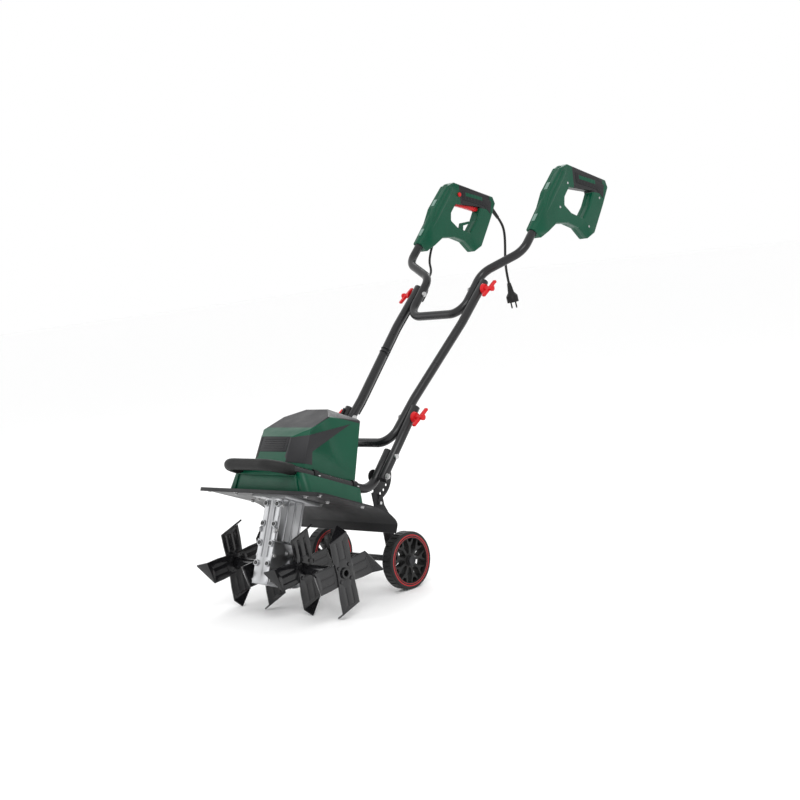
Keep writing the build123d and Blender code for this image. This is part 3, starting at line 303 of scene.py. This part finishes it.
def soften(node, material, edge):
    """A copy of a CAD node with merged points, small rounded edges and a finish."""
    source = nodes[node]
    activate(source)
    bpy.ops.object.duplicate()
    piece = bpy.context.view_layer.objects.active
    piece.parent = None
    piece.name = node + "_skin"
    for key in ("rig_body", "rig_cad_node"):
        if key in piece:
            del piece[key]
    piece.data.materials.clear()
    piece.data.materials.append(material)
    bpy.ops.object.mode_set(mode="EDIT")
    bpy.ops.mesh.select_all(action="SELECT")
    bpy.ops.mesh.remove_doubles(threshold=0.00002)
    bpy.ops.object.mode_set(mode="OBJECT")
    if edge:
        bevel = piece.modifiers.new("edges", "BEVEL")
        bevel.width = edge
        bevel.segments = 2
        bevel.limit_method = "ANGLE"
        bevel.angle_limit = radians(40)
        bpy.ops.object.modifier_apply(modifier="edges")
    bpy.ops.object.shade_smooth_by_angle(angle=radians(35))
    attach(piece, source["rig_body"])
    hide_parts(node)
    return piece


slot_of = {s["node"]: s["material_slot"] for s in frame["record"]["subparts"]}
skins = {
    "black_tube": (powder_coat, 0.0004), "black_sheet": (sheet_black, 0.0006),
    "tine_black": (tine_enamel, 0.0006), "green": (green_plastic, 0.0012),
    "dark_grey": (dark_plastic, 0.0008), "red": (red_plastic, 0.0009), "soft_black": (soft_grip, 0.0006),
    "tyre_black": (tyre_ringed, 0.0006), "rim_black": (rim_plastic, 0.0006),
    "aluminium": (cast_aluminium, 0.0012), "steel": (zinc_steel, 0.0004), "cable": (cable_sheath, 0.0003),
    "copper": (copper_wire, 0.0005), "bronze": (bronze, 0.0003),
}
unseen = {"stator_core", "field_windings", "motor_bracket", "brush_gear", "rotor_shaft", "armature", "fan",
          "worm_wheel", "ball_bearings"}
own_finish = {"grip_rubbers": grip_pad, "switch_grip_outer": grip_green, "switch_grip_inner": grip_green,
              "plain_grip_outer": grip_green, "plain_grip_inner": grip_green}
for name in sorted(nodes):
    material, edge = skins[slot_of[name]]
    material = own_finish.get(name, material)
    if name in unseen:
        nodes[name].data.materials.clear()
        nodes[name].data.materials.append(material)
    elif name != "lead":
        soften(name, material, edge)


# ---------------------------------------------------------------- mains lead
def side_point(x, y, z):
    """Point given in millimetres across the machine, behind the tine axis and over the ground."""
    return Vector((x / 1000, tine_axis.y + y / 1000, z / 1000))


lead_points = [side_point(-214, 1222, 925), side_point(-214, 1238, 907), side_point(-214, 1247, 880),
               side_point(-215, 1246, 843), side_point(-217, 1239, 790), side_point(-216, 1238, 746),
               side_point(-214, 1241, 716)]
lead_curve = bpy.data.curves.new("mains_lead", "CURVE")
lead_curve.dimensions = "3D"
lead_curve.bevel_depth = 0.004
lead_curve.bevel_resolution = 6
lead_curve.use_fill_caps = True
spline = lead_curve.splines.new("NURBS")
spline.points.add(len(lead_points) - 1)
for point, place in zip(spline.points, lead_points):
    point.co = (*place, 1)
spline.order_u = 3
spline.use_endpoint_u = True
spline.resolution_u = 12
mains_lead = bpy.data.objects.new("mains_lead", lead_curve)
bpy.context.scene.collection.objects.link(mains_lead)
lead_curve.materials.append(cable_sheath)
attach(mains_lead, "upper_handle")
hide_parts("lead")


# ---------------------------------------------------------------- pieces made by hand
def placed(name, matrix, body, material, edge=0.0, segments=3):
    """Finishes the active primitive: rounded edges, its place put into its mesh, its body and finish."""
    obj = bpy.context.object
    obj.name = name
    obj.data.materials.clear()
    obj.data.materials.append(material)
    if edge:
        bevel = obj.modifiers.new("edges", "BEVEL")
        bevel.width = edge
        bevel.segments = segments
        bevel.limit_method = "ANGLE"
        bpy.ops.object.modifier_apply(modifier="edges")
    obj.matrix_world = matrix
    activate(obj)
    bpy.ops.object.transform_apply(location=True, rotation=True, scale=True)
    bpy.ops.object.shade_smooth_by_angle(angle=radians(35))
    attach(obj, body)
    return obj


def top_faces(obj):
    """Selects, in edit mode, the faces that look up."""
    bpy.ops.object.mode_set(mode="OBJECT")
    for face in obj.data.polygons:
        face.select = face.normal.z > 0.9
    bpy.ops.object.mode_set(mode="EDIT")
    bpy.ops.mesh.select_mode(type="FACE")


def block(size):
    """A box of a size at the origin."""
    deselect()
    bpy.ops.mesh.primitive_cube_add(size=1)
    bpy.context.object.scale = size
    bpy.ops.object.transform_apply(location=False, rotation=False, scale=True)
    return bpy.context.object


def disc(radius, height, sides=40, inset=0.0, sink=0.0):
    """A round piece standing on the origin, with an optional sunk middle."""
    deselect()
    bpy.ops.mesh.primitive_cylinder_add(vertices=sides, radius=radius, depth=height,
                                        location=(0, 0, height / 2))
    bpy.ops.object.transform_apply(location=True, rotation=False, scale=False)
    obj = bpy.context.object
    if inset:
        top_faces(obj)
        bpy.ops.mesh.inset(thickness=inset)
        bpy.ops.mesh.extrude_region_move(TRANSFORM_OT_translate={"value": (0, 0, -sink)})
        bpy.ops.object.mode_set(mode="OBJECT")
    return obj


def square_to(place, z_axis, x_hint=(1, 0, 0)):
    """Matrix at a place whose Z looks along z_axis."""
    z = Vector(z_axis).normalized()
    x = Vector(x_hint)
    x = (x - z * x.dot(z)).normalized()
    return axes(place, x, z.cross(x), z)


def out_of_front(along):
    """Normal of a front wall that runs along a direction of the machine's middle plane."""
    normal = along.cross(deck_x).normalized()
    return -normal if normal.dot(deck_u) > 0 else normal


def tube_caps():
    """Ribbed plastic plugs in the open tube ends."""
    leg_dir = Vector((0, cos(leg_slope), sin(leg_slope)))
    mid_dir = Vector((0, cos(handle_slope), sin(handle_slope)))
    for side, label in ((1, "left"), (-1, "right")):
        ends = (
            ("upright_cap", "chassis", slope_place(side * frame_x, pivot, leg_slope, 0.075), leg_dir),
            ("leg_cap_top", "chassis", slope_place(side * leg_x, lower_knob, leg_slope, 0.030), leg_dir),
            ("leg_cap_low", "chassis", slope_place(side * leg_x, pivot, leg_slope, -0.008), -leg_dir),
            ("middle_cap", "middle_handle", slope_place(side * leg_x, upper_knob, handle_slope, 0.026),
             mid_dir),
        )
        for name, body, place, way in ends:
            disc(tube_r - 0.0002, 0.0022, 32, 0.004, 0.0006)
            placed(f"{name}_{label}", square_to(place, way), body, dark_plastic, 0.0006)


def hex_bolts():
    """Hexagon heads on washers, through the guard."""
    spots = ((0.129, -0.030), (0.129, 0.045), (0.055, 0.092), (0.205, -0.055), (0.205, 0.09))
    for side, label in ((1, "left"), (-1, "right")):
        for i, (x, u) in enumerate(spots):
            place = square_to(deck_place(side * x, u, guard_n - 0.003), -deck_n)
            disc(0.0065, 0.0012, 32)
            placed(f"guard_washer_{label}_{i}", place, "chassis", zinc_steel, 0.0003)
            disc(0.0045, 0.0052, 6, 0.0012, 0.0004)
            placed(f"guard_bolt_{label}_{i}", place, "chassis", zinc_steel, 0.0004)


def hood_vents():
    """Slats over the dark front inlay and slits in the hood's rear."""
    lean = (deck_u * 0.009 + deck_n * 0.066).normalized()
    out = out_of_front(lean)
    for i in range(5):
        block((0.078, 0.0022, 0.0016))
        n = 0.0565 + 0.0058 * i
        u = -0.048 + 0.009 * (n - 0.023) / 0.066
        place = deck_place(0, u, n) + out * 0.0016
        placed(f"front_slat_{i}", axes(place, deck_x, lean, out), "chassis", dark_plastic, 0.0005)
    for row in range(7):
        block((0.062, 0.0024, 0.0014))
        place = deck_place(0.0, 0.1597 - 0.005 * (row * 0.009 + 0.02) / 0.132, 0.062 + row * 0.009)
        placed(f"rear_slit_{row}", axes(place, deck_x, deck_n, deck_u), "chassis", dark_plastic,
               0.0006)


def base_panel():
    """Raised corner pillars and a top rail round the base's front wall."""
    face = (deck_u * 0.008 - deck_n * 0.050).normalized()
    out = out_of_front(face)

    def on_front(x, n):
        return deck_place(x, -0.053 + 0.008 * (-0.004 - n) / 0.050, n) + out * 0.0010

    for side, label in ((1, "left"), (-1, "right")):
        block((0.011, 0.046, 0.0044))
        top_faces(bpy.context.object)
        bpy.ops.transform.resize(value=(0.6, 0.95, 1))
        bpy.ops.object.mode_set(mode="OBJECT")
        lean = (-face + deck_x * side * -0.3).normalized()
        placed(f"base_pillar_{label}", axes(on_front(side * 0.112, -0.031), lean.cross(out), lean, out),
               "chassis", green_plastic, 0.0012)
    block((0.208, 0.006, 0.0044))
    placed("base_front_rail", axes(on_front(0, -0.011), deck_x, -face, out), "chassis", green_plastic,
           0.0014)


def arm_ribs():
    """Cast ribs and a bearing cover on each side of the gear arm."""
    tine_u = (tine_axis - deck_origin).dot(deck_u)
    tine_n = (tine_axis - deck_origin).dot(deck_n)
    for side, label in ((1, "left"), (-1, "right")):
        out = Vector((side, 0, 0))
        for i, u in enumerate((motor_u - 0.034, motor_u - 0.012, motor_u + 0.012, motor_u + 0.036)):
            block((0.0045, 0.105, 0.005))
            place = deck_place(side * 0.0285, u, -0.118)
            placed(f"arm_rib_{label}_{i}", axes(place, deck_u, deck_n, out), "chassis", cast_aluminium,
                   0.0016)
        block((0.084, 0.005, 0.005))
        placed(f"arm_cross_rib_{label}", axes(deck_place(side * 0.0285, motor_u, -0.168), deck_u, deck_n, out),
               "chassis", cast_aluminium, 0.0016)
        disc(0.029, 0.0035, 56, 0.006, 0.0015)
        placed(f"arm_cover_{label}", square_to(deck_place(side * 0.028, tine_u, tine_n), out, (0, 1, 0)),
               "chassis", cast_aluminium, 0.0008)


def arm_front():
    """Ribs and screw bosses down the gear arm's front face."""
    out = -deck_u
    for i, x in enumerate((-0.010, 0.010)):
        block((0.004, 0.140, 0.0044))
        place = deck_place(x, motor_u - 0.0399, -0.140)
        placed(f"arm_front_rib_{i}", axes(place, deck_n.cross(out), deck_n, out), "chassis",
               cast_aluminium, 0.0016)
    for side, label in ((1, "left"), (-1, "right")):
        for i, n in enumerate((-0.078, -0.128, -0.176, -0.226)):
            place = deck_place(side * 0.0205, motor_u - 0.0394, n)
            disc(0.0078, 0.0052, 40, 0.0018, 0.0008)
            placed(f"arm_boss_{label}_{i}", square_to(place, out), "chassis", cast_aluminium,
                   0.0008)
            disc(0.0046, 0.0066, 28, 0.0014, 0.0014)
            placed(f"arm_screw_{label}_{i}", square_to(place, out), "chassis", tine_enamel, 0.0004)


def hub_caps():
    """Caps on the wheel axle's ends."""
    for side, label in ((1, "left"), (-1, "right")):
        disc(0.0115, 0.0045, 40, 0.004, 0.0012)
        end = Vector((side * 0.1615, axle.y, axle.z))
        placed(f"axle_cap_{label}", square_to(end, (side, 0, 0), (0, 1, 0)), f"wheel_{label}", dark_plastic,
               0.0012)


def grip_details():
    """Finger ribs on the soft pads and screws in the +X and -X faces of the two grips."""
    pads = ((1058, 1001), (1072, 997), (1086, 993), (1100, 989), (1114, 985), (1128, 981))
    for hand, label in ((1, "plain"), (-1, "switch")):
        for toward in (1, -1):
            x = hand * grip_x * 1000 + toward * 17.6
            for i, (y, z) in enumerate(pads):
                block((0.0042, 0.024, 0.0012))
                placed(f"{label}_pad_rib_{'in' if toward == -hand else 'out'}_{i}",
                       axes(side_point(x, y, z), Vector((0, 0.96, -0.28)), Vector((0, 0.28, 0.96)),
                            Vector((1, 0, 0))),
                       "upper_handle", grip_pad, 0.0005)
        screws = ((960, 925), (1006, 990), (1085, 862), (1150, 940))
        for i, (y, z) in enumerate(screws):
            disc(0.0034, 0.0012, 24, 0.0012, 0.0005)
            place = side_point(hand * (grip_x * 1000 + 16.6), y, z)
            placed(f"{label}_screw_{i}", square_to(place, (hand, 0, 0), (0, 1, 0)), "upper_handle", zinc_steel,
                   0.0002)


def grip_spars():
    """Round spar of each grip around its tube, and light markers on the grip's front edge."""
    # distance from the upper knob, lift towards the front, radius
    rings = ((0.196, 0.0, 0.0155), (0.270, 0.001, 0.0172), (0.322, 0.005, 0.0188), (0.411, 0.006, 0.0188),
             (0.425, 0.006, 0.0172), (0.431, 0.006, 0.0125))
    way = Vector((0, cos(upper_slope), sin(upper_slope)))
    front = Vector((0, -sin(upper_slope), cos(upper_slope)))
    for hand, label in ((1, "plain"), (-1, "switch")):
        deselect()
        start, _, radius = rings[0]
        bpy.ops.mesh.primitive_circle_add(vertices=48, radius=radius, fill_type="NGON", location=(0, 0, 0))
        bpy.ops.object.mode_set(mode="EDIT")
        bpy.ops.mesh.select_all(action="SELECT")
        for (d0, l0, r0), (d1, l1, r1) in zip(rings, rings[1:]):
            bpy.ops.mesh.extrude_region_move(TRANSFORM_OT_translate={"value": (0, l1 - l0, d1 - d0)})
            bpy.ops.transform.resize(value=(r1 / r0, r1 / r0, 1))
        bpy.ops.mesh.select_all(action="SELECT")
        bpy.ops.mesh.normals_make_consistent(inside=False)
        bpy.ops.object.mode_set(mode="OBJECT")
        place = slope_place(hand * grip_x, upper_knob, upper_slope, start)
        placed(f"{label}_grip_spar", axes(place, front.cross(way), front, way), "upper_handle", green_plastic,
               0.001)
        for i, (distance, lift) in enumerate(((0.236, 0.0174), (0.345, 0.0268))):
            block((0.011, 0.0016, 0.026))
            place = slope_place(hand * grip_x, upper_knob, upper_slope, distance, lift)
            placed(f"{label}_marker_{i}", axes(place, front.cross(way), front, way), "upper_handle",
                   pale_marker, 0.0004)


def plug_rings():
    """Bend rings of the plug's neck."""
    start, end = side_point(-216, 1238, 746), side_point(-214, 1241, 716)
    way = (end - start).normalized()
    for i in range(5):
        deselect()
        bpy.ops.mesh.primitive_torus_add(major_radius=0.0052 + 0.0007 * i, minor_radius=0.0016,
                                         major_segments=36, minor_segments=10)
        placed(f"plug_ring_{i}", square_to(end + way * (0.004 + 0.0056 * i), way), "upper_handle",
               cable_sheath)


def cable_clip():
    """The two rings of the clip that holds the cable to the right middle tube."""
    way = Vector((0, cos(handle_slope), sin(handle_slope)))
    for i, (distance, spread) in enumerate(((0.229, 0.1123), (0.241, 0.1134))):
        deselect()
        bpy.ops.mesh.primitive_torus_add(major_radius=tube_r + 0.0012, minor_radius=0.0016, major_segments=48,
                                         minor_segments=10)
        place = square_to(slope_place(-spread, lower_knob, handle_slope, distance), way)
        placed(f"cable_clip_{i}", place, "middle_handle", dark_plastic)


for make in (tube_caps, hex_bolts, hood_vents, base_panel, arm_ribs, arm_front, hub_caps, grip_details,
             grip_spars, plug_rings, cable_clip):
    make()


# ---------------------------------------------------------------- floor, light and camera
deselect()
bpy.ops.mesh.primitive_plane_add(size=60, location=(0, 0, 0))
floor = bpy.context.object
floor.name = "floor"
floor_mat, _ = new_material("floor_white", (0.99, 0.99, 0.99), 0.7)
floor.data.materials.append(floor_mat)

bpy.context.scene.view_settings.view_transform = "Standard"
world = bpy.context.scene.world or bpy.data.worlds.new("world")
bpy.context.scene.world = world
world.use_nodes = True
world.node_tree.nodes["Background"].inputs["Color"].default_value = (1, 1, 1, 1)
world.node_tree.nodes["Background"].inputs["Strength"].default_value = 1.0


def softbox(name, place, aim, size, power):
    light = bpy.data.lights.new(name, "AREA")
    light.shape = "RECTANGLE"
    light.size, light.size_y = size
    light.energy = power
    obj = bpy.data.objects.new(name, light)
    obj.location = place
    obj.rotation_euler = (Vector(aim) - Vector(place)).to_track_quat("-Z", "Y").to_euler()
    bpy.context.scene.collection.objects.link(obj)


softbox("key", (2.0, -1.6, 2.8), (0, -0.1, 0.4), (1.6, 1.6), 36)
softbox("fill", (-2.4, -2.4, 1.6), (0, -0.2, 0.4), (1.8, 1.8), 14)
softbox("rim", (-1.2, 2.6, 2.6), (0, 0.1, 0.6), (2.0, 1.2), 30)

camera_data = bpy.data.cameras.new("camera")
camera_data.lens = 63.9
camera_data.sensor_width = 36
camera = bpy.data.objects.new("camera", camera_data)
right = Vector((0.7196, 0.6842, -0.1185))
up = Vector((0.01467, 0.1557, 0.9877))
back = Vector((0.6942, -0.7125, 0.1020))
camera.matrix_world = axes(Vector((2.658, tine_axis.y - 2.261, 0.850)), right, up, back)
bpy.context.scene.collection.objects.link(camera)
bpy.context.scene.camera = camera
